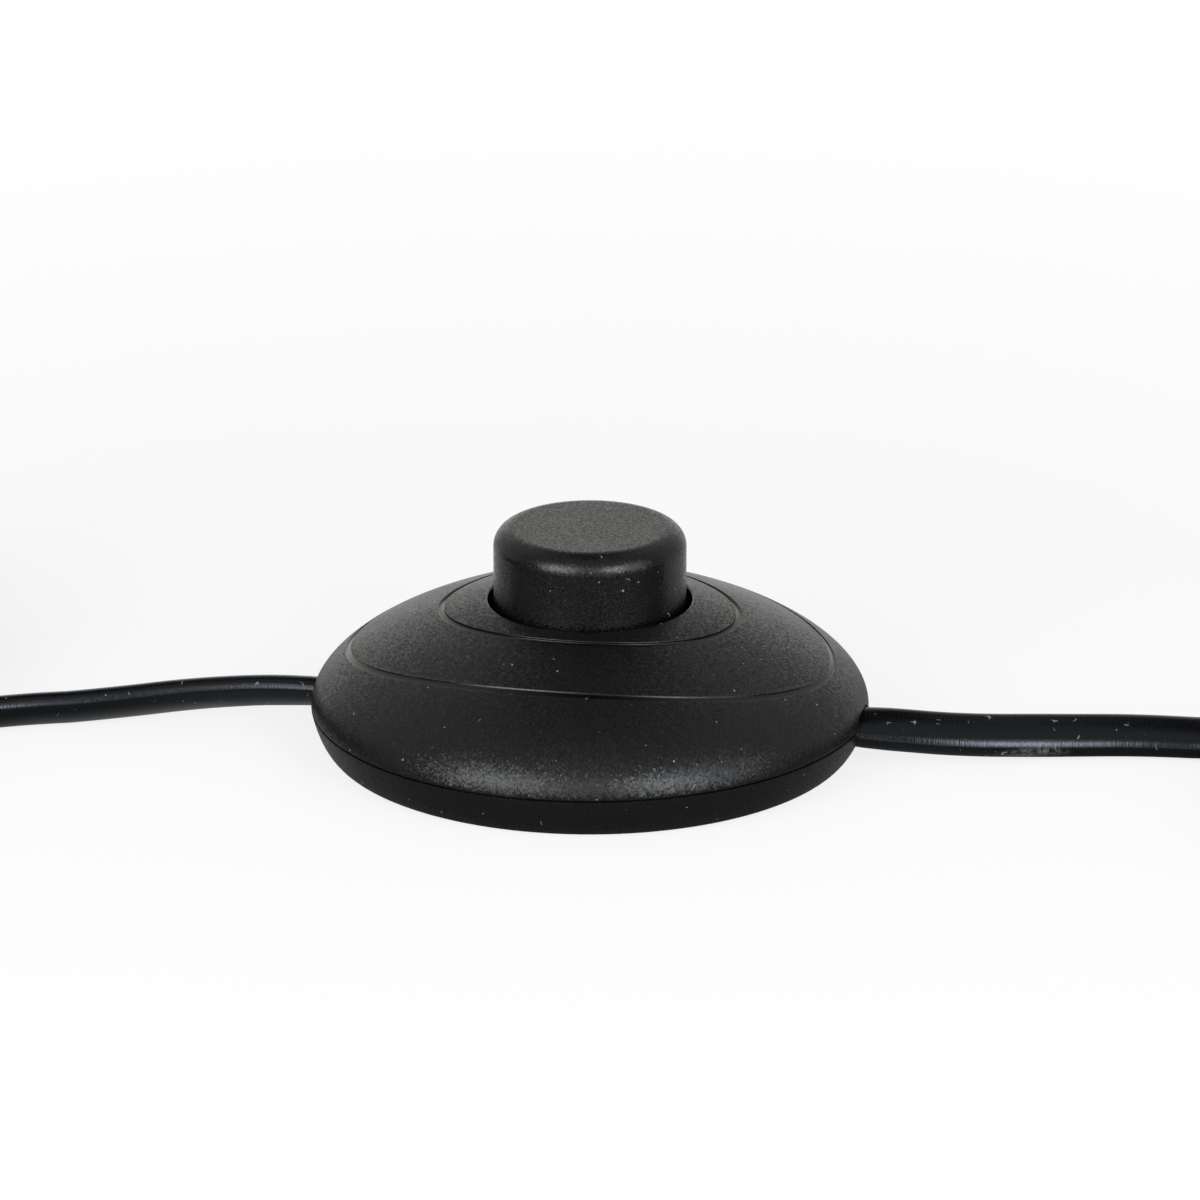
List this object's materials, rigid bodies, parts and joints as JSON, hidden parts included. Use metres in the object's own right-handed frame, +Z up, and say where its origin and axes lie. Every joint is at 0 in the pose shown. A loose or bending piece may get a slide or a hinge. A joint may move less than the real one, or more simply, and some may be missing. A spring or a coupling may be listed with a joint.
{
  "type": "foot switch",
  "caption": "Round domed in-line foot switch with a central push button, a dished base and a flat twin cord leaving each side.",
  "frame": {"origin": "middle of the flat underside of the base", "axes": "+Z up through the button, X along the line of the two cord mouths, mains side at -X"},
  "size_m": [0.3134, 0.0706, 0.0267],
  "materials": {
    "casing_plastic": "black moulded plastic with a fine spark-eroded grain",
    "button_plastic": "black moulded plastic with a fine spark-eroded grain",
    "cord_pvc": "smooth black PVC sheath",
    "plug_plastic": "black moulded PVC",
    "nickel": "nickel plated brass",
    "tie_strap": "woven hook and loop strap",
    "steel": "zinc plated steel",
    "rotor_plastic": "natural nylon",
    "brass": "bright brass",
    "contact_metal": "silver plated",
    "brown_core": "brown PVC insulation",
    "blue_core": "blue PVC insulation"
  },
  "bodies": {
    "casing": {"base_plate": "casing_plastic", "clamp_screws": "steel", "fixed_contacts": "contact_metal", "housing_screws": "steel", "lamp_coil": "cord_pvc", "lamp_coil_tie": "tie_strap", "lamp_cord": "cord_pvc", "lamp_cord_clamp": "rotor_plastic", "lamp_end_cores": "blue_core", "lamp_end_ferrules": "contact_metal", "lamp_tail": "cord_pvc", "line_terminal": "brass", "line_wire": "brown_core", "load_terminal": "brass", "load_wire": "brown_core", "mains_coil": "cord_pvc", "mains_coil_tie": "tie_strap", "mains_cord": "cord_pvc", "mains_cord_clamp": "rotor_plastic", "mains_tail": "cord_pvc", "neutral_connector": "brass", "neutral_wire_in": "blue_core", "neutral_wire_out": "blue_core", "plug_body": "plug_plastic", "plug_pins": "nickel", "return_spring": "steel", "stripped_ends": "brass", "terminal_screws": "steel", "top_cover": "casing_plastic"},
    "button": {"push_button": "button_plastic"},
    "rotor": {"rotor": "rotor_plastic", "contact_bridge": "brass", "bridge_contacts": "contact_metal"}
  },
  "joints": [
    {"name": "button_press", "type": "slide", "parent": "casing", "child": "button", "axis": [0, 0, 1], "range_m": [-0.0045, 0], "stiffness_N_per_m": 2000, "springref_m": 0.001, "deforming": ["return_spring"]},
    {"name": "rotor_turn", "type": "hinge", "parent": "casing", "child": "rotor", "pos_m": [0, 0, 0.003], "axis": [0, 0, 1], "range_deg": [0, 45]}
  ],
  "couplings": [
    {"joint": "rotor_turn", "follows": "button_press", "rad_per_m": -174.53}
  ]
}
